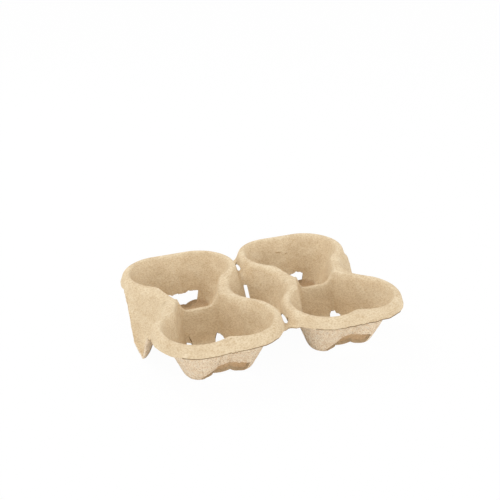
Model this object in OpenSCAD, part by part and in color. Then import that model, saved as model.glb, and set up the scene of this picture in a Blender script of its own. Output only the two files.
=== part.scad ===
// Moulded pulp carrier for four cups, one thin sheet pressed into four wells.
// Millimetres, +Z up, feet on z = 0, tear line between the two halves on x = 0.
// Each well is one ring of sections from its floor out to the edge of the sheet.
// u runs across a half from its own middle, v runs from the partition outwards.

/* [Tray] */
// Width of one half, from the tear line to its mirror image
half_pitch = 108; // [104:1:114]
// Height of the rim above the ground
rim_height = 44.3; // [40:0.5:50]
// Thickness of the pulp sheet
sheet = 2.4; // [1.8:0.1:2.8]
// Distance from the middle of a half to its cut outer side
trim_half = 52.8; // [51:0.2:54]

/* [Wells] */
// Distance of each lobe axis from the middle of the half
lobe_u = 16.6; // [15:0.2:18]
// Distance of the lobe axes from the partition
lobe_v = 49.5; // [47:0.5:52]
// Radius of a lobe at the top of the rim
lobe_radius = 30.5; // [29:0.5:32]
// Rise of the well wall for each millimetre outwards
wall_slope = 2.2; // [1.9:0.1:2.6]
// Half width of the flat part of the floor
floor_half = 20; // [17:0.5:22]
// Distance of the floor's front edge from the partition
floor_front = 54.5; // [52:0.5:57]
// Rise of the rib between the lobes for each millimetre outwards
rib_slope = 2.3; // [2:0.1:2.8]
// Rounding of the rib between the lobes
rib_round = 2.4; // [2:0.1:3.4]
// Rounding between wall and floor
floor_round = 4; // [2:0.5:6]

/* [Rim] */
// Radius of the rim on the side of the well
bead_inner = 3.5; // [3:0.1:4.5]
// Radius of the rim on the outer side
bead_outer = 3.8; // [3.2:0.1:4.5]
// Fall of the skirt for each millimetre outwards
skirt_slope = 3; // [2.4:0.1:3.4]
// Distance from the lobe axis to the lower edge of the skirt
skirt_radius = 36; // [35:0.2:36.6]

/* [Partition and neck] */
// Height of the partition between the two wells of a half
partition_height = 29; // [24:0.5:33]
// Radius of the top of the partition
partition_round = 3.4; // [2.8:0.2:5]
// Distance of the pocket side of the neck from the middle of the half
neck_half = 27; // [25.5:0.5:29]
// Distance of the well side of the neck from the middle of the half
throat_half = 22; // [20:0.5:24]
// Widening of the throat for each millimetre away from the partition
throat_flare = 0.42; // [0.3:0.02:0.5]
// Rise of the throat's walls for each millimetre outwards
throat_slope = 5; // [3.5:0.25:6]
// Half width of the level part of the partition
level_half = 12.5; // [10:0.5:14]
// Rise of the buttress from the partition to the neck
buttress_slope = 2.3; // [1.8:0.1:2.8]
// Depth of the dip in the rim at the neck
neck_drop = 2.8; // [0:0.2:5]

/* [Pocket] */
// Fall of the pocket wall for each millimetre outwards
pocket_slope = 2.3; // [2.1:0.05:2.6]
// Half length of the flat bottom of the pocket
pocket_floor = 12.7; // [9:0.5:13.5]
// Rise of the pocket's ends for each millimetre outwards
pocket_rise = 1.43; // [1.2:0.05:1.6]
// Height of the bridges at the ends of the pocket
bridge_height = 34.4; // [31:0.2:36]
// Distance of the bridge's free edge from the partition
bridge_end = 64; // [61:0.5:67]
// Width of the slots along the tear line
slot_width = 4.4; // [2.5:0.1:6]
// Start of the slot in the sloping end of the pocket
pocket_slot_start = 13; // [9:0.5:16]
// End of the slot in the sloping end of the pocket
pocket_slot_end = 30; // [25:0.5:34]
// Start of the slot in the bridge
bridge_slot_start = 43.8; // [41:0.2:47]
// End of the slot in the bridge
bridge_slot_end = 57.4; // [53:0.2:60]

/* [Holes in the base] */
// Half width of the arched hole in the outer wall of a well
arch_half = 20; // [17:0.5:22]
// Height of the arched hole above the ground
arch_height = 13; // [11:0.5:15]
// Height of the arched hole at its sides
arch_shoulder = 10; // [8:0.5:11]
// Height of the sill left standing under the arched hole
sill_height = 2.2; // [1.2:0.1:3]
// Height of the holes at the foot of the partition
drain_height = 9.5; // [7:0.5:11]
// Height of these holes at their far side
drain_low = 6; // [5:0.5:7]
// Distance of these holes from the middle of the half
drain_start = 10; // [7:0.5:10.5]

/* [Hidden] */
seam = half_pitch / 2;
well_mid = floor_front - floor_half;
lobe = [lobe_u, lobe_v];
// Arc of the neck, tangent to the lobe and through the neck point
neck_gap = neck_half - lobe_u;
neck_room = lobe_radius - neck_gap;
neck_radius = (neck_gap * neck_gap + lobe_v * lobe_v - lobe_radius * lobe_radius) / (2 * neck_room);
neck_centre = neck_half + neck_radius;
// Direction from the lobe axis to the centre of the neck's arc
neck_angle = atan2(-lobe_v, neck_centre - lobe_u);
rim_step = 3.4;

function unit_range(t) = min(1, max(0, t));
function ease(t) = unit_range(t) * unit_range(t) * (3 - 2 * unit_range(t));
function mix(a, b, t) = a + (b - a) * t;
function blend(a, b, w) = let (h = max(w - abs(a - b), 0) / w) h * h * w / 4;
function soft_max(a, b, w) = max(a, b) + blend(a, b, w);
function soft_min(a, b, w) = min(a, b) - blend(a, b, w);
function polar(r, angle) = [r * cos(angle), r * sin(angle)];

// Drop of a shoulder: an arc that runs on as a straight slope
function shoulder(x, r, slope) =
    let (reach = r * slope / sqrt(1 + slope * slope))
    x <= 0 ? 0 :
    x < reach ? r - sqrt(r * r - x * x) :
    r - r / sqrt(1 + slope * slope) + (x - reach) * slope;

function crest_height(v) = rim_height - neck_drop * (1 - ease((v - 4) / 26));

// Edge of the throat between the two wells of a half, at a distance from the partition
throat_round = 3;
function throat(v) = throat_half + throat_flare * (sqrt(v * v + throat_round * throat_round) - throat_round);
function throat_inside(u, v) = (throat(v) - u) / sqrt(1 + throat_flare * throat_flare);

// Height inside the opening: lobes, rib, throat, partition and floor
function well_height(u, v) =
    let (top = crest_height(v))
    let (side = sqrt(u * u + rib_round * rib_round))
    let (lobe_wall = top - shoulder(lobe_radius - norm([side, v] - lobe), bead_inner, wall_slope))
    let (reach = norm([u, max(v - well_mid, 0)]))
    let (rib_wall = sheet + rib_slope * (reach - floor_half))
    let (throat_wall = top - shoulder(throat_inside(u, v), bead_inner, throat_slope))
    let (rise = buttress_slope * soft_max(u - level_half, 0, 4))
    let (buttress = min(top, partition_height + rise) - shoulder(v, partition_round, 4))
    let (passage = soft_max(soft_max(rib_wall, throat_wall, 2), buttress, 2))
    let (soft = 0.2 + 2.5 * unit_range((top - min(lobe_wall, passage)) / 8))
    let (opening = min(soft_min(lobe_wall, passage, soft), top))
    let (partition = partition_height - shoulder(v, partition_round, wall_slope))
    soft_max(soft_max(opening, partition, 2), sheet, floor_round);

// Distance outside the top of the rim, straight across the front of the two lobes
function outside(u, v) =
    let (from = [u, v] - lobe)
    let (beside = from[0] * sin(neck_angle) - from[1] * cos(neck_angle))
    u < lobe_u ? (v > lobe_v ? from[1] - lobe_radius : neck_radius - norm([u - neck_centre, v])) :
    beside > 0 ? neck_radius - norm([u - neck_centre, v]) :
    norm(from) - lobe_radius;

function valley(v) =
    soft_min(bridge_height, soft_max(sheet, sheet + pocket_rise * (v - pocket_floor), 1.5), 4);

// Height of the upper face of the sheet, mirrored in all the planes of symmetry
function height(pu, pv) =
    let (u = seam - abs(seam - abs(pu)))
    let (v = abs(pv))
    let (out = outside(u, v))
    let (slope = mix(pocket_slope, skirt_slope, ease((v - 26) / 18)))
    out <= 0 ? well_height(u, v) :
    soft_max(crest_height(v) - shoulder(out, bead_outer, slope), valley(v), 3);

// Meeting of the throat with the rim of the lobe
function meeting(low, high, n) =
    let (v = (low + high) / 2)
    n == 0 ? v :
    norm([throat(v), v] - lobe) > lobe_radius ? meeting(v, high, n - 1) : meeting(low, v, n - 1);
meet_v = meeting(8, lobe_v - 10, 20);
meet_angle = atan2(meet_v - lobe_v, throat(meet_v) - lobe_u);

// Stations along the rim: [point, outward direction] from the partition to the rib
ridge_v = 2;
turn_u = level_half + 3.5;
turn_v = 12;
turn = [throat(turn_v) - turn_u, turn_v - ridge_v];
function across(direction) = [direction[1], -direction[0]] / norm(direction);
bridge_angle = atan2(bridge_end - lobe_v, seam - lobe_u);
// Side of the arched hole at its shoulder, and the section through it
bead_bend = sqrt(1 + wall_slope * wall_slope);
arch_fall = rim_height - arch_shoulder - bead_inner + bead_inner / bead_bend;
arch_radius = lobe_radius - bead_inner * wall_slope / bead_bend - arch_fall / wall_slope;
arch_aside = arch_half - lobe_u;
arch_side = [arch_half, lobe_v + sqrt(max(arch_radius * arch_radius - arch_aside * arch_aside, 1))];
arch_ray = arch_side - [0, well_mid];
lobe_ray = [0, well_mid] - lobe;
lip_radius = lobe_radius - rim_step;
ray_square = arch_ray * arch_ray;
ray_along = lobe_ray * arch_ray;
ray_rest = ray_along * ray_along - ray_square * (lobe_ray * lobe_ray - lip_radius * lip_radius);
arch_lip = lobe_ray + arch_ray * (sqrt(ray_rest) - ray_along) / ray_square;
arch_angle = atan2(arch_lip[1], arch_lip[0]);
rib_angle = 115;
side_angles = [for (k = [1 : 8]) mix(meet_angle, bridge_angle, k / 8)];
foot_angles = [for (k = [1 : 4]) mix(bridge_angle, arch_angle, k / 4)];
front_angles = [for (k = [1 : 4]) mix(arch_angle, rib_angle, k / 4)];
lobe_angles = concat(side_angles, foot_angles, front_angles);
rib_start = lobe + polar(lobe_radius, rib_angle);
drain_u = drain_start * (well_mid - ridge_v - rim_step) / (well_mid - 13.5);
function turn_point(t) = [turn_u + turn[0] * t, ridge_v + turn[1] * t * t];
function rib_point(k) = [rib_start[0] * k / 2, rib_start[1] - 0.3 * (2 - k)];
stations = concat(
    [for (u = [0, drain_u / 2, drain_u, turn_u]) [[u, ridge_v], [0, -1]]],
    [for (t = [1 / 3, 2 / 3, 1]) [turn_point(t), across([turn[0], 2 * turn[1] * t])]],
    [for (v = [(turn_v + meet_v) / 2, meet_v]) [[throat(v), v], across([throat_flare, 1])]],
    [for (a = lobe_angles) [lobe + polar(lobe_radius, a), polar(1, a)]],
    [for (k = [1, 0]) [rib_point(k), polar(1, mix(90, rib_angle, k / 2))]]
);
last = len(stations) - 1;
turn_last = 6;
seam_first = turn_last + 1;
bridge_last = seam_first + 9;
arch_first = bridge_last + len(foot_angles);
lobe_first = seam_first + 2;
trim_last = lobe_first + 4;
drains = [2, 6];

// Stops of the sections along the tear line, with the slots between them
slot_end = 2;
slot_side = seam - slot_width / 2;
seam_edge = [
    [seam, 0],
    [seam, pocket_slot_start],
    [slot_side, pocket_slot_start + slot_end],
    [slot_side, pocket_slot_end - slot_end],
    [seam, pocket_slot_end],
    [seam, bridge_slot_start],
    [slot_side, bridge_slot_start + slot_end],
    [slot_side, bridge_slot_end - slot_end],
    [seam, bridge_slot_end],
    [seam, bridge_end]
];

function skirt_edge(i) =
    let (a = i > last - 2 ? 90 : lobe_angles[i - lobe_first])
    a < 90 ? lobe + polar(skirt_radius, a) : [stations[i][0][0], lobe_v + skirt_radius];

// Edge of the sheet at a station, towards the tear line or towards the cut side
function sheet_edge(i, inner) =
    i < 4 ? [stations[i][0][0], 0] :
    i <= turn_last ? [mix(turn_u, seam - 10, (i - 3) / 3), 0] :
    inner && i <= bridge_last ? seam_edge[i - seam_first] :
    inner && i == bridge_last + 1 ? mix([seam, bridge_end], skirt_edge(i + 1), 0.45) - [0, 0.4] :
    i < trim_last ? [trim_half, skirt_edge(trim_last)[1] * (i - seam_first) / (trim_last - seam_first)] :
    skirt_edge(i);

function hole_top(i) =
    let (t = (last - i) / (last - arch_first))
    let (along = (i - drains[0]) / (drains[1] - drains[0]))
    let (after = (i - drains[1]) / (arch_first - drains[1]))
    i <= drains[1] ? mix(drain_height, drain_low, unit_range(along)) :
    i < arch_first ? mix(drain_low, arch_shoulder, after) :
    mix(arch_height, arch_shoulder, t * t);

function level_step(a, b, z, low, high, n) =
    let (t = (low + high) / 2)
    let (p = mix(a, b, t))
    n == 0 ? t :
    height(p[0], p[1]) > z ? level_step(a, b, z, low, t, n - 1) : level_step(a, b, z, t, high, n - 1);

// Share of the way from the rim to the edge at which the sheet starts to fall
function rim_step_out(a, b, low, high, n) =
    let (t = (low + high) / 2)
    let (p = mix(a, b, t))
    n == 0 ? t :
    outside(p[0], p[1]) > 0 ? rim_step_out(a, b, low, t, n - 1) : rim_step_out(a, b, t, high, n - 1);

// Points of one section in plan: floor, wall, rim, then skirt or pocket
function section(i, inner) =
    let (mid = [0, well_mid])
    let (crest = stations[i][0])
    let (edge = sheet_edge(i, inner))
    let (lip = crest - rim_step * stations[i][1])
    let (top = height(lip[0], lip[1]))
    let (low = hole_top(i))
    let (levels = [sheet + 0.001, sheet + sill_height, low, mix(low, top, 0.36), mix(low, top, 0.7)])
    let (span = norm(edge - crest))
    let (start = outside(edge[0], edge[1]) > 0 ? rim_step_out(crest, edge, 0, 1, 12) : 0)
    let (first = min(start + 1.6 / span, 0.5))
    let (second = min(start + 3.6 / span, 0.75))
    concat(
        [for (z = levels) mix(mid, lip, level_step(mid, lip, z, 0, 1, 16))],
        [lip, mix(lip, crest, 0.55), crest],
        [for (t = [first, second, mix(second, 1, 0.35), mix(second, 1, 0.7), 1]) mix(crest, edge, t)]
    );

// Upper and lower point of the sheet over a point of the plan
step = 0.1;
function facing(u, v) =
    let (du = (height(u + step, v) - height(u - step, v)) / (2 * step))
    let (dv = (height(u, v + step) - height(u, v - step)) / (2 * step))
    [-du, -dv, 1] / norm([du, dv, 1]);
function upper(p) = [p[0], p[1], height(p[0], p[1])];
function lower(p) = upper(p) - sheet * facing(p[0], p[1]);

rings = 13;
columns = 2 * last;
well_points = columns * rings + 1;
function station_of(c) = c <= last ? c : columns - c;
function is_inner(c) = c <= last;

// One well seen from its own half, tear line towards -u
one_well = [
    for (c = [0 : columns - 1])
        let (plan = section(station_of(c), is_inner(c)))
        let (side = is_inner(c) ? -1 : 1)
        for (p = plan)
            [[side, 1, 1], upper(p), lower(p)]
];

function placed(p, q) =
    let (flip_x = q % 2 == 0 ? 1 : -1)
    let (flip_y = q < 2 ? 1 : -1)
    [flip_x * (seam + p[0]), flip_y * p[1], p[2]];
function signed(s, p) = [s[0] * p[0], p[1], p[2]];
centre = [0, well_mid, sheet];
face_points = [
    for (layer = [1, 2])
        for (q = [0 : 3])
            concat(
                [for (w = one_well) placed(signed(w[0], w[layer]), q)],
                [placed(layer == 1 ? centre : [0, well_mid, 0], q)]
            )
];
points = [for (well = face_points) each well];
layer_size = 4 * well_points;

function on_partition(c) = station_of(c) <= seam_first;
function on_seam(c) =
    let (k = station_of(c) - seam_first)
    is_inner(c) && k >= 0 && k <= 9 && seam_edge[k][0] == seam;
function joined(c) =
    let (d = (c + 1) % columns)
    (on_partition(c) && on_partition(d)) || (on_seam(c) && on_seam(d));

// Index of a point, with the points on the planes of symmetry shared
function at(q, column, ring) =
    let (c = (column + columns) % columns)
    let (rim = ring == rings - 1)
    let (qx = rim && on_seam(c) ? 0 : q % 2)
    let (qy = rim && on_partition(c) ? 0 : floor(q / 2))
    ring < 0 ? q * well_points + columns * rings : (2 * qy + qx) * well_points + c * rings + ring;

function is_hole(column, ring) =
    let (c = (column + columns) % columns)
    let (i = min(station_of(c), station_of((c + 1) % columns)))
    (ring == 1 && i >= arch_first) || (ring >= 0 && ring < 2 && i >= drains[0] && i < drains[1]);

// Triangles of the upper face, each quadrangle split along its shorter diagonal
function turned(q, f) = q == 0 || q == 3 ? f : [f[0], f[2], f[1]];
function apart(a, b) = norm(points[a] - points[b]);
function split(q, a, b, c, d) =
    apart(a, c) < apart(b, d) ?
    [turned(q, [a, b, c]), turned(q, [a, c, d])] :
    [turned(q, [a, b, d]), turned(q, [b, c, d])];
upper_faces = [
    for (q = [0 : 3])
        for (c = [0 : columns - 1])
            each concat(
                [turned(q, [at(q, c, -1), at(q, c, 0), at(q, c + 1, 0)])],
                [
                    for (r = [0 : rings - 2])
                        if (!is_hole(c, r))
                            each split(q, at(q, c, r), at(q, c, r + 1), at(q, c + 1, r + 1), at(q, c + 1, r))
                ]
            )
];
lower_faces = [for (f = upper_faces) [f[0] + layer_size, f[2] + layer_size, f[1] + layer_size]];

// Open edges of the upper face, each from one point to the next
edges = [
    for (q = [0 : 3])
        for (c = [0 : columns - 1])
            each concat(
                joined(c) ? [] : [[q, at(q, c, rings - 1), at(q, c + 1, rings - 1)]],
                [for (r = [0, 1]) if (is_hole(c, r) && !is_hole(c, r - 1)) [q, at(q, c, r), at(q, c + 1, r)]],
                is_hole(c, 1) ? [[q, at(q, c + 1, 2), at(q, c, 2)]] : [],
                [
                    for (r = [0, 1])
                        if (is_hole(c, r) != is_hole(c - 1, r))
                            let (low = at(q, c, r))
                            let (high = at(q, c, r + 1))
                            is_hole(c, r) ? [q, high, low] : [q, low, high]
                ]
            )
];
edge_faces = [
    for (e = edges)
        let (a = e[1])
        let (b = e[2])
        each [
            turned(e[0], [b, a, a + layer_size]),
            turned(e[0], [b, a + layer_size, b + layer_size])
        ]
];

module tray() {
    color([0.87, 0.77, 0.62])
        polyhedron(points, concat(upper_faces, lower_faces, edge_faces), convexity = 12);
}

tray();
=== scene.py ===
import math
import bpy
import numpy as np
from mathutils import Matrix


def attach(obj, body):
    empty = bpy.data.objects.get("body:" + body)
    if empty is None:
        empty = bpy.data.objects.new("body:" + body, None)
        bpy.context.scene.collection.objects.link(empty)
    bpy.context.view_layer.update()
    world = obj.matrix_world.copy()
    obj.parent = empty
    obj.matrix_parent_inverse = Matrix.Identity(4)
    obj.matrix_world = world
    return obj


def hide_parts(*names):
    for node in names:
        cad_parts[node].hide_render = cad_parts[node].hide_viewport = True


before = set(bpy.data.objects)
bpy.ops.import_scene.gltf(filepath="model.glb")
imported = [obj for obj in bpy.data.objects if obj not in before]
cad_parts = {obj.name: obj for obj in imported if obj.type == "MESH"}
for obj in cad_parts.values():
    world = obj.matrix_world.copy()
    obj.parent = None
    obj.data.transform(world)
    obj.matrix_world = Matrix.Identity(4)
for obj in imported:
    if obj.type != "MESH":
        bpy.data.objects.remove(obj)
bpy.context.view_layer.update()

# the pressed sheet, in millimetres, with the main sizes of the solid
# u runs across one half of the tray and v away from its partition
traySheet = {
    "seam": 54.0, "rimHeight": 44.3, "sheet": 2.4, "trimHalf": 52.8,
    "lobeU": 16.6, "lobeV": 49.5, "lobeRadius": 30.5, "wallSlope": 2.2,
    "floorHalf": 20.0, "floorFront": 54.5, "floorRound": 4.0,
    "ribSlope": 2.3, "ribRound": 2.4, "ribAngle": 115.0, "ribDip": 0.3,
    "beadInner": 3.5, "rimBend": 1.9, "beadOuter": 3.8, "rimStep": 3.4,
    "rimBlend": 0.2, "wallBlend": 0.9, "blendDepth": 8.0,
    "skirtSlope": 3.0, "skirtRadius": 36.0, "skirtBlend": 3.0,
    "partitionHeight": 29.0, "partitionRound": 2.5, "partitionBlend": 2.0,
    "throatHalf": 22.0, "throatFlare": 0.42, "throatSlope": 5.0, "throatRound": 3.0, "throatBlend": 1.0,
    "levelHalf": 12.5, "buttressSlope": 2.3, "buttressFace": 4.0, "buttressRound": 4.0, "buttressBlend": 0.8,
    "neckHalf": 27.0, "neckDrop": 2.8, "neckStart": 4.0, "neckRun": 26.0,
    "pocketSlope": 2.3, "pocketFloor": 12.7, "pocketRise": 1.43, "pocketBlend": 1.5,
    "slopeStart": 26.0, "slopeRun": 18.0,
    "bridgeHeight": 34.4, "bridgeEnd": 64.6, "bridgeNotch": 3.2, "bridgeBlend": 4.0,
    "slotWidth": 3.3, "pocketSlot": (13.0, 30.0), "bridgeSlot": (43.8, 58.0), "slotEnd": 0.7,
    "tearThin": 0.45, "tearFlat": 3.0, "tearRun": 7.0,
    "archShoulder": 10.0, "archAngle": 63.19,
    "drainHeight": 9.5, "drainLow": 6.0, "drainFoot": 5.2, "drainStart": 10.0, "drainDepth": 13.5,
    "ridgeV": 2.0, "turnV": 12.0, "turnOut": 3.5, "sideInset": 10.0, "meetRange": (8.0, 39.5),
}
ts = traySheet
wellMid = ts["floorFront"] - ts["floorHalf"]
neckGap = ts["neckHalf"] - ts["lobeU"]
neckRadius = (neckGap ** 2 + ts["lobeV"] ** 2 - ts["lobeRadius"] ** 2) / (2 * (ts["lobeRadius"] - neckGap))
neckCentre = ts["neckHalf"] + neckRadius
neckAngle = math.atan2(-ts["lobeV"], neckCentre - ts["lobeU"])
turnU = ts["levelHalf"] + ts["turnOut"]


def ease(t):
    t = np.clip(t, 0, 1)
    return t * t * (3 - 2 * t)


def softBlend(a, b, w):
    h = np.maximum(w - np.abs(a - b), 0) / w
    return h * h * w / 4


def softMax(a, b, w):
    return np.maximum(a, b) + softBlend(a, b, w)


def softMin(a, b, w):
    return np.minimum(a, b) - softBlend(a, b, w)


# how far a rounded edge has dropped at a distance x: an arc, then a straight slope
def shoulder(x, r, slope):
    bend = np.sqrt(1 + slope * slope)
    reach = r * slope / bend
    arc = r - np.sqrt(np.maximum(r * r - np.minimum(np.maximum(x, 0), reach) ** 2, 0))
    return np.where(x < reach, arc, r - r / bend + (x - reach) * slope)


# inner side of the rim: a short level land, then a tighter bend into the same wall
def innerShoulder(x, slope):
    land = (ts["beadInner"] - ts["rimBend"]) * (math.sqrt(1 + slope * slope) - 1) / slope
    return shoulder(x - land, ts["rimBend"], slope)


def crestHeight(v):
    return ts["rimHeight"] - ts["neckDrop"] * (1 - ease((v - ts["neckStart"]) / ts["neckRun"]))


def throatEdge(v):
    r = ts["throatRound"]
    return ts["throatHalf"] + ts["throatFlare"] * (np.sqrt(v * v + r * r) - r)


# inside of a well: lobes, rib, throat, partition and floor
def wellHeight(u, v):
    top = crestHeight(v)
    side = np.sqrt(u * u + ts["ribRound"] ** 2)
    inLobe = ts["lobeRadius"] - np.hypot(side - ts["lobeU"], v - ts["lobeV"])
    lobeWall = top - innerShoulder(inLobe, ts["wallSlope"])
    fromMid = np.hypot(u, np.maximum(v - wellMid, 0))
    ribWall = ts["sheet"] + ts["ribSlope"] * (fromMid - ts["floorHalf"])
    inThroat = (throatEdge(v) - u) / math.sqrt(1 + ts["throatFlare"] ** 2)
    throatWall = top - innerShoulder(inThroat, ts["throatSlope"])
    rise = ts["buttressSlope"] * softMax(u - ts["levelHalf"], 0 * u, ts["buttressRound"])
    ridge = np.minimum(top, ts["partitionHeight"] + rise)
    buttress = ridge - shoulder(v, ts["partitionRound"], ts["buttressFace"])
    passage = softMax(softMax(ribWall, throatWall, ts["throatBlend"]), buttress, ts["buttressBlend"])
    depth = np.clip((top - np.minimum(lobeWall, passage)) / ts["blendDepth"], 0, 1)
    soft = ts["rimBlend"] + ts["wallBlend"] * depth
    opening = np.minimum(softMin(lobeWall, passage, soft), top)
    partition = ts["partitionHeight"] - shoulder(v, ts["partitionRound"], ts["wallSlope"])
    walls = softMax(opening, partition, ts["partitionBlend"])
    return softMax(walls, ts["sheet"] + 0 * u, ts["floorRound"])


# distance outside the crest of the rim, below zero inside a well
def outsideRim(u, v):
    fromU, fromV = u - ts["lobeU"], v - ts["lobeV"]
    beside = fromU * math.sin(neckAngle) - fromV * math.cos(neckAngle)
    neck = neckRadius - np.hypot(u - neckCentre, v)
    lobe = np.hypot(fromU, fromV) - ts["lobeRadius"]
    front = np.where(v > ts["lobeV"], fromV - ts["lobeRadius"], neck)
    return np.where(u < ts["lobeU"], front, np.where(beside > 0, neck, lobe))


def sheetHeight(pu, pv):
    u = ts["seam"] - np.abs(ts["seam"] - np.abs(pu))
    v = np.abs(pv)
    out = outsideRim(u, v)
    steeper = ease((v - ts["slopeStart"]) / ts["slopeRun"])
    slope = ts["pocketSlope"] + (ts["skirtSlope"] - ts["pocketSlope"]) * steeper
    climb = ts["sheet"] + ts["pocketRise"] * (v - ts["pocketFloor"])
    valley = softMax(ts["sheet"] + 0 * v, climb, ts["pocketBlend"])
    valley = softMin(ts["bridgeHeight"] + 0 * v, valley, ts["bridgeBlend"])
    skirt = softMax(crestHeight(v) - shoulder(out, ts["beadOuter"], slope), valley, ts["skirtBlend"])
    return np.where(out <= 0, wellHeight(u, v), skirt)


lumpCells = 32  # lumps repeat after this many cells


# smooth lumps of a chosen size, the same on every run
def lumps(points, cell, seed):
    table = np.random.default_rng(seed).random((lumpCells, lumpCells, lumpCells)) * 2 - 1
    p = points / cell
    base = np.floor(p).astype(int)
    f = ease(p - base)
    total = np.zeros(len(points))
    for corner in range(8):
        offset = np.array([corner & 1, corner >> 1 & 1, corner >> 2 & 1])
        index = (base + offset) % lumpCells
        weight = np.prod(np.where(offset == 1, f, 1 - f), axis=1)
        total += weight * table[index[:, 0], index[:, 1], index[:, 2]]
    return total


# rings of faces from the middle of a floor out to the edge, with the bead in millimetres from the crest
trayMesh = {
    "perStation": 4, "floorRings": 5, "sillRings": 3, "footRings": 4, "wallRings": 13, "lipRings": 4,
    "beadSteps": (0.5, 1.0, 1.5, 2.1, 2.8, 3.5, 4.3, 5.2), "beadShare": 0.09,
    # the last ring of a skirt, this many millimetres wide, carries a painted shadow line
    "skirtRings": 11, "shadowLineWidth": 0.25, "floorLift": 0.001, "joinStep": 0.004, "normalStep": 0.1,
    "meetHalvings": 24, "ringHalvings": 22, "rimHalvings": 16,
}
# stations round half a well, from the middle of the partition to the rib
stop = {
    "drainStart": 2, "drainPeak": 2.8, "turn": 3, "drainEnd": 6, "side": 7, "lobe": 8, "tabEnd": 13,
    "bridge": 16, "skirt": 18, "archFoot": 19, "arch": 20, "rib": 24, "last": 26,
}
stations = np.linspace(0, stop["last"], stop["last"] * trayMesh["perStation"] + 1)
columns = 2 * stop["last"] * trayMesh["perStation"]

# where the throat meets the rim of a lobe
low, high = ts["meetRange"]
for _ in range(trayMesh["meetHalvings"]):
    meetV = (low + high) / 2
    if math.hypot(throatEdge(meetV) - ts["lobeU"], meetV - ts["lobeV"]) > ts["lobeRadius"]:
        low = meetV
    else:
        high = meetV
meetAngle = math.degrees(math.atan2(meetV - ts["lobeV"], throatEdge(meetV) - ts["lobeU"]))
bridgeAngle = math.degrees(math.atan2(ts["bridgeEnd"] - ts["lobeV"], ts["seam"] - ts["lobeU"]))
drainU = ts["drainStart"] * (wellMid - ts["ridgeV"] - ts["rimStep"]) / (wellMid - ts["drainDepth"])


def lobeAngle(s):
    stops = [stop["lobe"], stop["bridge"], stop["arch"], stop["rib"]]
    return np.interp(s, stops, [meetAngle, bridgeAngle, ts["archAngle"], ts["ribAngle"]])


def lobePoint(angle, radius):
    a = math.radians(angle)
    return [ts["lobeU"] + radius * math.cos(a), ts["lobeV"] + radius * math.sin(a)]


# crest of the rim and the way it faces, from the partition round to the rib
def crestAt(s):
    turnRun = throatEdge(ts["turnV"]) - turnU
    turnRise = ts["turnV"] - ts["ridgeV"]
    if s <= stop["turn"]:
        stops = [0, stop["drainStart"] / 2, stop["drainStart"], stop["turn"]]
        return [np.interp(s, stops, [0, drainU / 2, drainU, turnU]), ts["ridgeV"]], [0, -1]
    if s <= stop["drainEnd"]:
        t = (s - stop["turn"]) / (stop["drainEnd"] - stop["turn"])
        way = np.array([2 * turnRise * t, -turnRun])
        return [turnU + turnRun * t, ts["ridgeV"] + turnRise * t * t], way / np.hypot(*way)
    if s < stop["lobe"]:
        v = np.interp(s, [stop["drainEnd"], stop["lobe"]], [ts["turnV"], meetV])
        way = np.array([1, -ts["throatFlare"]])
        return [throatEdge(v), v], way / np.hypot(*way)
    if s <= stop["rib"]:
        a = math.radians(lobeAngle(s))
        return lobePoint(lobeAngle(s), ts["lobeRadius"]), [math.cos(a), math.sin(a)]
    ribRun = stop["last"] - stop["rib"]
    k = stop["last"] - s
    start = lobePoint(ts["ribAngle"], ts["lobeRadius"])
    a = math.radians(90 + (ts["ribAngle"] - 90) * k / ribRun)
    return [start[0] * k / ribRun, start[1] - ts["ribDip"] * (ribRun - k)], [math.cos(a), math.sin(a)]


def skirtEdge(s):
    angle = lobeAngle(s)
    if s > stop["rib"] or angle >= 90:
        return [crestAt(s)[0][0], ts["lobeV"] + ts["skirtRadius"]]
    return lobePoint(angle, ts["skirtRadius"])


# the tear line from the partition to the end of a bridge, round its two slots
slotSide = ts["seam"] - ts["slotWidth"] / 2
seamStops = [(ts["seam"], 0)]
for slotStart, slotStop in (ts["pocketSlot"], ts["bridgeSlot"]):
    seamStops += [(ts["seam"], slotStart), (slotSide, slotStart + ts["slotEnd"])]
    seamStops += [(slotSide, slotStop - ts["slotEnd"]), (ts["seam"], slotStop)]
seamStops.append((ts["seam"], ts["bridgeEnd"]))


# edge of the sheet at a station, on the tear line side or on the cut side
def edgeAt(s, inner):
    if s <= stop["turn"]:
        return [crestAt(s)[0][0], 0]
    inset = ts["seam"] - ts["sideInset"]
    if s <= stop["drainEnd"]:
        return [turnU + (inset - turnU) * (s - stop["turn"]) / (stop["drainEnd"] - stop["turn"]), 0]
    side = ts["seam"] if inner else ts["trimHalf"]
    if s <= stop["side"]:
        return [inset + (side - inset) * (s - stop["drainEnd"]), 0]
    if inner and s <= stop["bridge"]:
        stops = range(stop["side"], stop["bridge"] + 1)
        return [np.interp(s, stops, [p[k] for p in seamStops]) for k in (0, 1)]
    if inner and s < stop["skirt"]:
        before, after = seamStops[-1], skirtEdge(stop["skirt"])
        bend = (before[0] - ts["bridgeNotch"], before[1])
        t = (s - stop["bridge"]) / (stop["skirt"] - stop["bridge"])
        return [(1 - t) ** 2 * before[k] + 2 * t * (1 - t) * bend[k] + t * t * after[k] for k in (0, 1)]
    if not inner and s < stop["tabEnd"]:
        tabTop = skirtEdge(stop["tabEnd"])[1]
        return [ts["trimHalf"], tabTop * (s - stop["side"]) / (stop["tabEnd"] - stop["side"])]
    return skirtEdge(s)


# columns run out along the tear line side of a well and back along its cut side
columnStation = np.concatenate([stations, stations[-2:0:-1]])
columnInner = np.arange(columns) < len(stations)
crests = np.array([crestAt(s)[0] for s in columnStation])
ways = np.array([crestAt(s)[1] for s in columnStation])
edges = np.array([edgeAt(s, inner) for s, inner in zip(columnStation, columnInner)])
lips = crests - ts["rimStep"] * ways
isDrain = (columnStation >= stop["drainStart"]) & (columnStation <= stop["drainEnd"])
isArch = columnStation >= stop["arch"]

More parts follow.
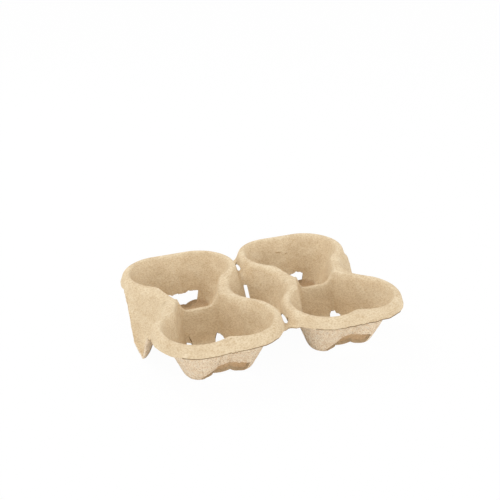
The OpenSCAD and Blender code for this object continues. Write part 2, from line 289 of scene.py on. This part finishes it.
# the holes are rough and differ from well to well: right back, left back, right front, left front
ragged = {
    "holeAmount": 0.45, "holeMix": (0.6, 0.4), "holeStart": 0.3, "sillShare": 0.3, "sillShift": 7,
    "edgeAmount": 0.13, "edgeStart": 0.5, "cutAmount": 0.5, "firstSeed": 40,
    "drainDrop": [(0, 0), (0, 0), (1.5, 1.5), (0, 3.4)], "drainSpan": 4.0,  # tear line side, cut side
    "archPlace": [-1, -0.67, 0, 0.67, 1],  # from the tear line side to the cut side
    "archTops": [
        (10.0, 12.0, 13.0, 12.0, 10.0), (12.0, 13.2, 14.0, 12.4, 10.0),
        (5.2, 11.8, 14.0, 14.4, 11.5), (10.5, 14.2, 12.8, 9.8, 5.0),
    ],
    "sillHeight": [2.2, 2.2, 0.9, 0.9], "floorCut": [0, 0, 1, 1],
}


def between(start, end, share):
    return start + (end - start) * share[:, None]


def pastRim(p):
    return outsideRim(p[:, 0], np.abs(p[:, 1])) > 0


# the share of the way at which a test turns true, column by column
def firstPast(test, halvings):
    lo, hi = np.zeros(columns), np.ones(columns)
    for _ in range(halvings):
        t = (lo + hi) / 2
        past = test(t)
        hi = np.where(past, t, hi)
        lo = np.where(past, lo, t)
    return (lo + hi) / 2


# tops of the drains and arches of one well
def holeTops(well, rough):
    stops = [stop["drainStart"], stop["drainPeak"], stop["drainEnd"], stop["archFoot"]]
    heights = [ts["drainFoot"], ts["drainHeight"], ts["drainLow"], ts["archShoulder"]]
    tops = np.interp(columnStation, stops, heights)
    drop = np.where(columnInner, *ragged["drainDrop"][well])
    tops = tops - drop * isDrain * (tops - ts["drainFoot"]) / ragged["drainSpan"]
    across = np.where(columnInner, -1, 1) * (stop["last"] - columnStation) / (stop["last"] - stop["arch"])
    places = ragged["archPlace"]
    arch = np.polyval(np.polyfit(places, ragged["archTops"][well], len(places) - 1), across)
    tops = np.where(isArch, arch, tops)
    uneven = isDrain | isArch & (columnStation > stop["arch"] + ragged["holeStart"])
    return tops + ragged["holeAmount"] * rough * uneven


# the share of a floor that stays where it is cut back between the feet, to one smooth curve
def floorShare(spread):
    reach = spread[columnStation == stop["last"]][0, 1]
    endU, endV = spread[columnStation == stop["arch"]].mean(axis=0)
    bow = (endV - reach) / endU ** 2
    root = np.sqrt(np.maximum(spread[:, 1] ** 2 - 4 * bow * spread[:, 0] ** 2 * reach, 0))
    share = np.ones(columns)
    share[isArch] = np.minimum(2 * reach / (spread[:, 1] + root)[isArch], 1)
    return share


# plan points of one well, as columns by rings
def wellPlan(well):
    rng = np.random.default_rng(ragged["firstSeed"] + well)
    mid = np.array([0, wellMid])
    rough = rng.normal(0, 1, columns)
    rough = ragged["holeMix"][0] * rough + ragged["holeMix"][1] * np.roll(rough, 1)
    tops = holeTops(well, rough)
    lipTop = sheetHeight(lips[:, 0], lips[:, 1])
    sillRough = ragged["sillShare"] * ragged["holeAmount"] * np.roll(rough, ragged["sillShift"]) * isArch
    sill = ts["sheet"] + ragged["sillHeight"][well] + sillRough
    levels = [np.full(columns, ts["sheet"] + trayMesh["floorLift"])]
    for k in range(1, trayMesh["sillRings"] + 1):
        levels.append(ts["sheet"] + (sill - ts["sheet"]) * k / trayMesh["sillRings"])
    for k in range(1, trayMesh["footRings"] + 1):
        levels.append(sill + (tops - sill) * k / trayMesh["footRings"])
    for k in range(1, trayMesh["wallRings"] + 1):
        levels.append(tops + (lipTop - tops) * k / (trayMesh["wallRings"] + 1))
    rings = []
    for z in levels:
        share = firstPast(lambda t: sheetHeight(*between(mid, lips, t).T) > z, trayMesh["ringHalvings"])
        rings.append(between(mid, lips, share))
    share = floorShare(rings[trayMesh["sillRings"]] - mid)
    share = 1 + ragged["floorCut"][well] * (share - 1)
    for k in range(trayMesh["sillRings"] + 1):
        rings[k] = between(mid, rings[k], share)
    floorCount, lipCount = trayMesh["floorRings"], trayMesh["lipRings"]
    floorRings = [mid + (rings[0] - mid) * k / floorCount for k in range(1, floorCount)]
    lipRings = [lips + (crests - lips) * k / lipCount for k in range(lipCount + 1)]
    # trimmed edges are a little uneven, the tear line stays straight
    onSide = columnStation > stop["side"]
    free = np.where(columnInner, columnStation > stop["bridge"] + ragged["edgeStart"], onSide)
    uneven = rng.normal(0, 1, columns)
    uneven = (uneven + np.roll(uneven, 1) + np.roll(uneven, 2)) / 3
    outward = (edges - crests) / np.maximum(np.hypot(*(edges - crests).T), 0.01)[:, None]
    trimmed = ~columnInner & onSide & (columnStation < stop["tabEnd"])
    amount = np.where(trimmed, ragged["cutAmount"], ragged["edgeAmount"]) * free
    edge = edges + outward * (amount * uneven)[:, None]
    span = np.hypot(*(edge - crests).T)
    rimShare = firstPast(lambda t: pastRim(between(crests, edge, t)), trayMesh["rimHalvings"])
    start = np.where(pastRim(edge), rimShare, 0)
    shares = []
    for k, step in enumerate(trayMesh["beadSteps"], 1):
        shares.append(np.minimum(start + step / span, trayMesh["beadShare"] * k))
    beadEnd = shares[-1]
    skirtRun = 1 - trayMesh["shadowLineWidth"] / span - beadEnd
    for k in range(1, trayMesh["skirtRings"] + 1):
        shares.append(beadEnd + skirtRun * k / trayMesh["skirtRings"])
    shares.append(np.ones(columns))
    outerRings = [between(crests, edge, share) for share in shares]
    return np.stack(floorRings + rings + lipRings + outerRings, axis=1), len(floorRings)


def facing(u, v):
    step = trayMesh["normalStep"]
    du = (sheetHeight(u + step, v) - sheetHeight(u - step, v)) / (2 * step)
    dv = (sheetHeight(u, v + step) - sheetHeight(u, v - step)) / (2 * step)
    n = np.stack([-du, -dv, np.ones_like(du)], axis=1)
    return n / np.linalg.norm(n, axis=1)[:, None]


finish = {"smooth": 0, "rough": 1, "cut": 2, "edge": 3}  # material slots
here = np.arange(columns)
beside = (here + 1) % columns
nearer = np.minimum(columnStation[here], columnStation[beside])
drainHole = (nearer >= stop["drainStart"]) & (nearer < stop["drainEnd"])
archHole = nearer >= stop["arch"]
uppers, lowers, normals, quadList, finishList = [], [], [], [], []
offset = 0
for well in range(4):
    flipX = 1 if well % 2 == 0 else -1
    flipY = 1 if well < 2 else -1
    flip = flipX * flipY
    plan, firstRing = wellPlan(well)
    ringCount = plan.shape[1]
    signs = np.where(columnInner, -1.0, 1.0)
    signs[columnStation == 0] = 1.0
    flat = plan.reshape(-1, 2).copy()
    flat[:, 0] *= np.repeat(signs, ringCount)
    flat = np.vstack([flat, [[0, wellMid]]])
    n = facing(flat[:, 0], flat[:, 1])
    upper = np.column_stack([flat, sheetHeight(flat[:, 0], flat[:, 1])])
    # pressed thin along the tear line
    fromTear = (ts["seam"] - np.abs(flat[:, 0]) - ts["tearFlat"]) / ts["tearRun"] + (flat[:, 0] > 0)
    thick = ts["sheet"] * (ts["tearThin"] + (1 - ts["tearThin"]) * ease(fromTear))
    lower = upper - thick[:, None] * n
    for points in (upper, lower):
        points[:, 0] = flipX * (ts["seam"] + points[:, 0])
        points[:, 1] *= flipY
    uppers.append(upper)
    lowers.append(lower)
    normals.append(n * [flipX, flipY, 1])
    footRing = firstRing + trayMesh["sillRings"]
    wallRing = footRing + trayMesh["footRings"]
    for r in range(ringCount - 1):
        # the sills seen through the arches are dark brown, painted shade of the floor inside
        onSill = archHole & (firstRing <= r < footRing)
        kind = np.where(onSill, finish["cut"], finish["smooth"])
        # the last thin ring of the front and back skirts is near black, a painted shadow line under the skirt
        if r == ringCount - 2:
            kind = np.where(nearer >= stop["archFoot"], finish["edge"], kind)
        keep = np.ones(columns, bool)
        if firstRing <= r < wallRing:
            keep = ~(drainHole | archHole & (r >= footRing))
        a, b = here * ringCount + r, beside * ringCount + r
        quad = np.stack([a, a + 1, b + 1, b], axis=1)
        quadList.append(quad[keep, ::flip] + offset)
        finishList.append(kind[keep])
    # the middle of the floor is a fan of triangles
    middle = np.full(columns, columns * ringCount)
    fan = np.stack([middle, here * ringCount, beside * ringCount], axis=1)[:, ::flip]
    quadList.append(np.column_stack([fan + offset, np.full(columns, -1)]))
    finishList.append(np.full(columns, finish["smooth"]))
    offset += len(flat)
upper, lower, normal = np.vstack(uppers), np.vstack(lowers), np.vstack(normals)

# points that two wells share on the tear line and the partition become one
keys = np.round(upper / trayMesh["joinStep"]).astype(np.int64)
_, firstIndex, inverse = np.unique(keys, axis=0, return_index=True, return_inverse=True)
inverse = inverse.reshape(-1)
upper, lower, normal = upper[firstIndex], lower[firstIndex], normal[firstIndex]
faces = [[int(inverse[k]) for k in quad if k >= 0] for quad in np.vstack(quadList)]
faces = [[k for i, k in enumerate(face) if k != face[i - 1]] for face in faces]
faceFinish = np.array([kind for face, kind in zip(faces, np.concatenate(finishList)) if len(face) > 2])
faces = [face for face in faces if len(face) > 2]
print("sheet laid out", len(upper), "points", len(faces), "faces")

# uneven pressing on both faces and a grainy outer face: depth, size and seed of the lumps
pressing = {
    "wave": (0.16, 26.0, 3), "dent": (0.09, 8.0, 5), "grain": (0.22, 2.6, 7), "coarseGrain": (0.2, 5.5, 11),
    "fadeHeight": 8.0,
}


def pressed(points, name):
    depth, size, seed = pressing[name]
    return depth * lumps(points, size, seed)


wave = pressed(upper, "wave") + pressed(upper, "dent")
grain = pressed(lower, "grain") + pressed(lower, "coarseGrain")
fade = ease(upper[:, 2] / pressing["fadeHeight"])  # none on the floors, which stay flat
upper = upper + normal * (wave * fade)[:, None]
lower = lower + normal * ((wave + grain) * fade)[:, None]
lower[:, 2] = np.maximum(lower[:, 2], 0)

# upper faces look up, lower faces down and the edges outwards
halfEdges = dict.fromkeys((face[i - 1], a) for face in faces for i, a in enumerate(face))
borders = [(a, b) for a, b in halfEdges if (b, a) not in halfEdges]
total = len(upper)
allFaces = [face[::-1] for face in faces]
allFaces += [[k + total for k in face] for face in faces]
allFaces += [[a, b, b + total, a + total] for a, b in borders]
trayData = bpy.data.meshes.new("pulpTray")
trayData.from_pydata((np.vstack([upper, lower]) / 1000).tolist(), [], allFaces)
trayData.update()

# the cut sides are pale; the other edges are dark brown, painted shade
cutSide = {"fromX": 90, "withinY": 36}
borderPlace = np.abs(upper[[a for a, b in borders]])
onCutSide = (borderPlace[:, 0] > cutSide["fromX"]) & (borderPlace[:, 1] < cutSide["withinY"])
slots = np.full(len(allFaces), finish["rough"], np.int32)
slots[:len(faces)] = faceFinish
slots[2 * len(faces):] = np.where(onCutSide, finish["rough"], finish["cut"])
trayData.polygons.foreach_set("use_smooth", np.ones(len(allFaces), bool))
tray = bpy.data.objects.new("pulpTray", trayData)
bpy.context.scene.collection.objects.link(tray)
print("tray built", len(allFaces), "faces", len(borders), "border edges")

white = (1, 1, 1)


def pulpMaterial(name, look):
    material = bpy.data.materials.new(name)
    material.use_nodes = True
    nodes, links = material.node_tree.nodes, material.node_tree.links
    nodes.clear()
    out = nodes.new("ShaderNodeOutputMaterial")
    shader = nodes.new("ShaderNodeBsdfPrincipled")
    links.new(shader.outputs["BSDF"], out.inputs["Surface"])
    shader.inputs["Specular IOR Level"].default_value = look["specular"]
    where = nodes.new("ShaderNodeTexCoord")
    lay = nodes.new("ShaderNodeMapping")  # fibres lie along the sheet, so grain is longer sideways than up
    lay.inputs["Scale"].default_value = look["lay"]
    links.new(where.outputs["Object"], lay.inputs["Vector"])

    def noise(scale, detail, rough):
        fibres = nodes.new("ShaderNodeTexNoise")
        fibres.inputs["Scale"].default_value = scale
        fibres.inputs["Detail"].default_value = detail
        fibres.inputs["Roughness"].default_value = rough
        links.new(lay.outputs["Vector"], fibres.inputs["Vector"])
        return fibres.outputs["Fac"]

    def ramp(source, stops):
        band = nodes.new("ShaderNodeValToRGB")
        while len(band.color_ramp.elements) < len(stops):
            band.color_ramp.elements.new(0.5)
        for element, (place, colour) in zip(band.color_ramp.elements, stops):
            element.position = place
            element.color = (*colour, 1)
        links.new(source, band.inputs["Fac"])
        return band.outputs["Color"]

    def remap(source, given, wanted):
        scale = nodes.new("ShaderNodeMapRange")
        scale.inputs["From Min"].default_value, scale.inputs["From Max"].default_value = given
        scale.inputs["To Min"].default_value, scale.inputs["To Max"].default_value = wanted
        links.new(source, scale.inputs["Value"])
        return scale.outputs["Result"]

    def multiply(first, second, amount):
        mix = nodes.new("ShaderNodeMix")
        mix.data_type = "RGBA"
        mix.blend_type = "MULTIPLY"
        mix.inputs["Factor"].default_value = amount
        links.new(first, mix.inputs["A"])
        links.new(second, mix.inputs["B"])
        return mix.outputs["Result"]

    def bump(source, strength, depth):
        relief = nodes.new("ShaderNodeBump")
        relief.inputs["Strength"].default_value = strength
        relief.inputs["Distance"].default_value = depth
        links.new(source, relief.inputs["Height"])
        return relief

    fleck = noise(*look["fleck"])
    clouds = ramp(noise(*look["cloud"]), list(zip(look["cloudStops"], look["tones"])))
    flecks = ramp(fleck, list(zip(look["fleckRange"], (look["fleckDark"], white))))
    colour = multiply(clouds, flecks, look["fleckAmount"])
    # painted shade of two short creases and two cracks, and one dark speck, each a thin ellipsoid of darker
    # colour
    for centre, half, lean, dark in look["marks"]:
        place = nodes.new("ShaderNodeMapping")
        place.vector_type = "TEXTURE"
        place.inputs["Scale"].default_value = half
        place.inputs["Rotation"].default_value = (0, math.radians(lean), 0)
        place.inputs["Location"].default_value = centre
        links.new(where.outputs["Object"], place.inputs["Vector"])
        reach = nodes.new("ShaderNodeVectorMath")
        reach.operation = "LENGTH"
        links.new(place.outputs["Vector"], reach.inputs[0])
        colour = multiply(colour, ramp(reach.outputs["Value"], [(look["markCore"], dark), (1, white)]), 1)
    # painted shade: the floor of a well is darker brown towards its holes, where it lies in shade
    if look["paintedLowShade"]:
        spot = nodes.new("ShaderNodeSeparateXYZ")
        links.new(where.outputs["Object"], spot.inputs[0])
        sideways = nodes.new("ShaderNodeMath")
        sideways.operation = "ABSOLUTE"
        links.new(spot.outputs["Y"], sideways.inputs[0])
        unshaded = nodes.new("ShaderNodeMath")
        unshaded.operation = "MAXIMUM"
        links.new(remap(spot.outputs["Z"], look["paintedShadeHeights"], (0, 1)), unshaded.inputs[0])
        links.new(remap(sideways.outputs[0], look["paintedShadeReach"], (1, 0)), unshaded.inputs[1])
        colour = multiply(colour, ramp(unshaded.outputs[0], [(0, look["paintedLowShade"]), (1, white)]), 1)
    links.new(colour, shader.inputs["Base Color"])
    links.new(remap(fleck, (0, 1), look["roughness"]), shader.inputs["Roughness"])
    fineBump = bump(noise(*look["fine"]), *look["fineBump"])
    coarseBump = bump(noise(*look["coarse"]), *look["coarseBump"])
    links.new(fineBump.outputs["Normal"], coarseBump.inputs["Normal"])
    links.new(coarseBump.outputs["Normal"], shader.inputs["Normal"])
    return material


# noises are scale, detail and roughness, bumps are strength and depth
# marks are centre, half sizes, lean in degrees and tint
# tints of painted shade for the creases and cracks; the crease tint also darkens the speck
creaseShadeAndSpeckTint, crackShadeTint = (0.62, 0.52, 0.42), (0.3, 0.22, 0.14)
smoothPulp = {
    "tones": ((0.71, 0.565, 0.38), (0.77, 0.63, 0.435), (0.82, 0.69, 0.495)), "cloudStops": (0.3, 0.5, 0.72),
    "specular": 0.2, "roughness": (0.8, 0.96), "lay": (0.7, 0.7, 1.25), "cloud": (110, 3, 0.55),
    "fleck": (950, 2, 0.6), "fleckDark": (0.8, 0.73, 0.63), "fleckRange": (0.34, 0.6), "fleckAmount": 0.9,
    # painted shade on the floors near the holes: the heights and reach over which it fades, and its tint
    "paintedShadeHeights": (0.0028, 0.0055), "paintedShadeReach": (0.034, 0.05), "paintedLowShade": (0.73, 0.635, 0.56),
    "markCore": 0.5, "marks": [
        ((0.050, 0.069, 0.0329), (0.0038, 0.004, 0.00045), 0, creaseShadeAndSpeckTint),
        ((0.0576, 0.0695, 0.031), (0.003, 0.004, 0.00045), 0, creaseShadeAndSpeckTint),
        ((-0.0544, -0.078, 0.0443), (0.0009, 0.0006, 0.001), 0, creaseShadeAndSpeckTint),
        ((-0.0651, -0.0119, 0.0078), (0.0005, 0.004, 0.0038), -19.4, crackShadeTint),
        ((-0.0427, -0.0121, 0.0072), (0.0005, 0.004, 0.0038), 28.8, crackShadeTint),
    ],
    "fine": (1000, 4, 0.65), "fineBump": (0.8, 0.0008), "coarse": (380, 3, 0.6), "coarseBump": (0.35, 0.0008),
}
# the rough outer face; its pale tones are partly painted light on the outer lower walls
roughPulpPaintedLight = {
    "tones": ((0.9, 0.725, 0.515), (0.97, 0.815, 0.61), (0.98, 0.865, 0.69)), "cloudStops": (0.3, 0.5, 0.72),
    "specular": 0.12, "roughness": (0.85, 1.0), "lay": (1, 1, 1), "cloud": (300, 3, 0.55),
    "fleck": (1100, 2, 0.6), "fleckDark": (0.62, 0.46, 0.32), "fleckRange": (0.34, 0.52), "fleckAmount": 0.85,
    "paintedLowShade": None, "marks": [],
    "fine": (900, 4, 0.65), "fineBump": (0.8, 0.0012), "coarse": (420, 3, 0.6), "coarseBump": (0.9, 0.0025),
}
# dark brown painted shade for the sills in the arches and the other sheet edges
shadedCutTones = ((0.4, 0.285, 0.17), (0.46, 0.335, 0.205), (0.54, 0.41, 0.265))
# near black painted shadow line along the lower edge of the front and back skirts
shadowLineTones = ((0.2, 0.13, 0.07), (0.3, 0.21, 0.12), (0.45, 0.34, 0.21))
shadedCutPulp = dict(smoothPulp, marks=[], paintedLowShade=None, tones=shadedCutTones)
shadowLinePulp = dict(shadedCutPulp, tones=shadowLineTones)
trayData.materials.append(pulpMaterial("smoothPulp", smoothPulp))
trayData.materials.append(pulpMaterial("roughPulpPaintedLight", roughPulpPaintedLight))
trayData.materials.append(pulpMaterial("shadedCutPulp", shadedCutPulp))
trayData.materials.append(pulpMaterial("shadowLinePulp", shadowLinePulp))
trayData.polygons.foreach_set("material_index", slots)
sharp = trayData.attributes.new("sharp_edge", "BOOLEAN", "EDGE")
borderSet = {tuple(sorted(pair)) for a, b in borders for pair in ((a, b), (a + total, b + total))}
onBorder = [tuple(sorted(e.vertices)) in borderSet for e in trayData.edges]
sharp.data.foreach_set("value", np.array(onBorder, bool))
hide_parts("tray")
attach(tray, "root")
print("pulp finishes set")

# pale floor that keeps the shadow but shows as near white
floorLook = {"size": 8.0, "drop": 0.0003, "white": 0.9, "cameraWhite": 0.97}
floorData = bpy.data.meshes.new("studioFloor")
half = floorLook["size"] / 2
corners = [(-half, -half, 0), (half, -half, 0), (half, half, 0), (-half, half, 0)]
floorData.from_pydata(corners, [], [(0, 1, 2, 3)])
floor = bpy.data.objects.new("studioFloor", floorData)
floor.location.z = -floorLook["drop"]
bpy.context.scene.collection.objects.link(floor)
floorMaterial = bpy.data.materials.new("floorPaper")
floorMaterial.use_nodes = True
nodes, links = floorMaterial.node_tree.nodes, floorMaterial.node_tree.links
nodes.clear()
out = nodes.new("ShaderNodeOutputMaterial")
paper = nodes.new("ShaderNodeBsdfDiffuse")
paper.inputs["Color"].default_value = (floorLook["white"],) * 3 + (1,)
glow = nodes.new("ShaderNodeEmission")
glow.inputs["Color"].default_value = (*white, 1)
glow.inputs["Strength"].default_value = 1.0
path = nodes.new("ShaderNodeLightPath")
seen = nodes.new("ShaderNodeMath")
seen.operation = "MULTIPLY"
seen.inputs[1].default_value = floorLook["cameraWhite"]
mixShader = nodes.new("ShaderNodeMixShader")
links.new(path.outputs["Is Camera Ray"], seen.inputs[0])
links.new(seen.outputs[0], mixShader.inputs["Fac"])
links.new(paper.outputs[0], mixShader.inputs[1])
links.new(glow.outputs[0], mixShader.inputs[2])
links.new(mixShader.outputs[0], out.inputs["Surface"])
floorData.materials.append(floorMaterial)

# soft studio light, brighter from the upper left; lamps are power, size and place
studio = {
    "world": 0.88,
    "lamps": {
        "key": (6.2, (0.7, 0.7), (-0.6, 0.7, 1.15)),
        "fill": (4.6, (1.4, 0.3), (-0.4, -1.3, 0.26)),
        "side": (2.6, (0.9, 0.5), (1.3, -0.35, 0.4)),
    },
}
world = bpy.data.worlds.new("studioWorld")
bpy.context.scene.world = world
world.use_nodes = True
nodes, links = world.node_tree.nodes, world.node_tree.links
nodes.clear()
out = nodes.new("ShaderNodeOutputWorld")
soft = nodes.new("ShaderNodeBackground")
soft.inputs["Color"].default_value = (*white, 1)
soft.inputs["Strength"].default_value = studio["world"]
backdrop = nodes.new("ShaderNodeBackground")
backdrop.inputs["Color"].default_value = (*white, 1)
backdrop.inputs["Strength"].default_value = 1.0
path = nodes.new("ShaderNodeLightPath")
pick = nodes.new("ShaderNodeMixShader")
links.new(path.outputs["Is Camera Ray"], pick.inputs["Fac"])
links.new(soft.outputs[0], pick.inputs[1])
links.new(backdrop.outputs[0], pick.inputs[2])
links.new(pick.outputs[0], out.inputs["Surface"])
for name, (power, size, place) in studio["lamps"].items():
    lampData = bpy.data.lights.new(name + "Lamp", "AREA")
    lampData.energy = power
    lampData.shape = "RECTANGLE"
    lampData.size, lampData.size_y = size
    lamp = bpy.data.objects.new(name + "Lamp", lampData)
    lamp.location = place
    tilt = math.atan2(math.hypot(place[0], place[1]), place[2])  # each lamp looks at the middle of the tray
    lamp.rotation_euler = (tilt, 0, math.atan2(place[0], -place[1]))
    bpy.context.scene.collection.objects.link(lamp)
print("studio lit")

shot = {"place": (-0.21657, -0.50940, 0.32584), "tilt": 65.49, "turn": -22.33, "lens": 52.53, "sensor": 36}
cameraData = bpy.data.cameras.new("photoCamera")
cameraData.lens = shot["lens"]
cameraData.sensor_width = shot["sensor"]
camera = bpy.data.objects.new("photoCamera", cameraData)
camera.location = shot["place"]
camera.rotation_euler = (math.radians(shot["tilt"]), 0, math.radians(shot["turn"]))
bpy.context.scene.collection.objects.link(camera)
bpy.context.scene.camera = camera
bpy.context.scene.view_settings.view_transform = "Standard"

print("scene ready")
